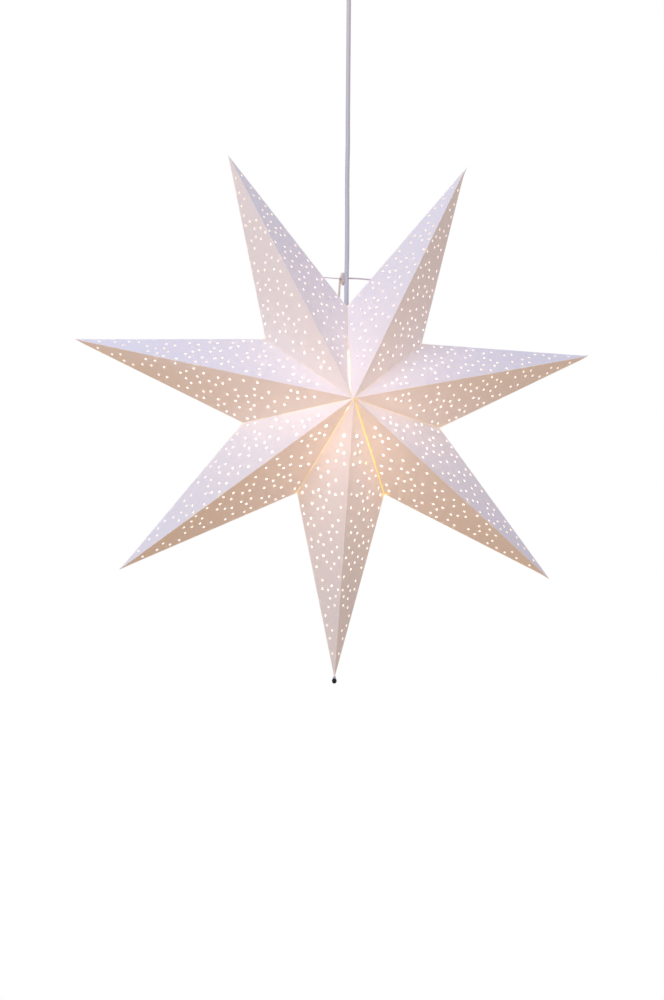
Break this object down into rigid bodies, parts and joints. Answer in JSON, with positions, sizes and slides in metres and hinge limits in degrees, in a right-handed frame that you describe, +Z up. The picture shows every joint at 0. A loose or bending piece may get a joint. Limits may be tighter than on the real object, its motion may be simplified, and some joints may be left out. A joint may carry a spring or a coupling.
{
  "type": "folded paper star pendant light",
  "caption": "Folded, punched paper star light with pointed arms, hung on a cord from a ceiling hook and cup, with a screw-in globe bulb inside.",
  "frame": {"origin": "on the axis of the hook's screw, in the plane of the ceiling", "axes": "+Z up along the screw, -Y towards the star's front, +X to its right"},
  "size_m": [0.5863, 0.144, 0.8697],
  "materials": {
    "paper_punched": "matt folded paper, punched",
    "string_grey": "twisted string",
    "bead_dark_metal": "faceted, polished",
    "collar_metal": "turned",
    "spring_steel": "drawn wire",
    "cord_pvc": "extruded sheath",
    "holder_plastic": "moulded",
    "core_ceramic": "pressed and fired",
    "contact_brass": "stamped",
    "zinc_steel": "zinc plated",
    "bulb_opal": "opal",
    "bulb_plastic": "moulded",
    "filament_strip": "coated",
    "bulb_nickel": "nickel plated",
    "insulator_black": "moulded",
    "hanger_plastic": "moulded",
    "cup_plastic": "moulded",
    "grip_rubber": "moulded"
  },
  "bodies": {
    "ceiling": {"ceiling_hook": "zinc_steel"},
    "ring": {"hanger_ring": "zinc_steel"},
    "pendant": {"cord_hanger": "hanger_plastic", "hanger_screw": "zinc_steel", "terminal_block": "hanger_plastic", "block_screws": "zinc_steel", "cord": "cord_pvc", "cord_grip": "holder_plastic", "holder_cap": "holder_plastic", "holder_skirt": "holder_plastic", "holder_core": "core_ceramic", "screw_sleeve": "contact_brass", "centre_contact": "contact_brass", "side_contact": "contact_brass", "terminal_screws": "zinc_steel"},
    "canopy": {"ceiling_cup": "cup_plastic", "cup_grip": "grip_rubber"},
    "shade": {"arm_top_left": "paper_punched", "arm_top_right": "paper_punched", "arm_right": "paper_punched", "arm_lower_right": "paper_punched", "arm_bottom": "paper_punched", "arm_lower_left": "paper_punched", "arm_left": "paper_punched", "tie_string": "string_grey", "tip_bead": "bead_dark_metal", "bead_collar": "collar_metal", "star_bracket": "spring_steel"},
    "bulb_foot": {"bulb_contact": "bulb_nickel"},
    "bulb": {"bulb_globe": "bulb_opal", "bulb_collar": "bulb_plastic", "filament_carrier": "filament_strip", "bulb_screw_shell": "bulb_nickel", "bulb_insulator": "insulator_black"}
  },
  "joints": [
    {"name": "swing_sideways", "type": "hinge", "parent": "ceiling", "child": "ring", "pos_m": [0, 0, -0.0145], "axis": [0, 1, 0], "range_deg": [-4, 4]},
    {"name": "swing_forwards", "type": "hinge", "parent": "ring", "child": "pendant", "pos_m": [0, 0, -0.02805], "axis": [1, 0, 0], "range_deg": [-4, 4]},
    {"name": "canopy_slide", "type": "slide", "parent": "pendant", "child": "canopy", "axis": [0, 0, -1], "range_m": [0, 0.12]},
    {"name": "star_turn", "type": "hinge", "parent": "pendant", "child": "shade", "pos_m": [0, 0, -0.43102], "axis": [0, 0, 1], "continuous": true},
    {"name": "bulb_feed", "type": "slide", "parent": "pendant", "child": "bulb_foot", "axis": [0, 0, -1], "range_m": [0, 0.01269]},
    {"name": "bulb_turn", "type": "hinge", "parent": "bulb_foot", "child": "bulb", "pos_m": [0, 0, -0.55], "axis": [0, 0, -1], "range_deg": [0, 1620]}
  ],
  "couplings": [
    {"joint": "bulb_turn", "follows": "bulb_feed", "rad_per_m": 2228.1}
  ]
}
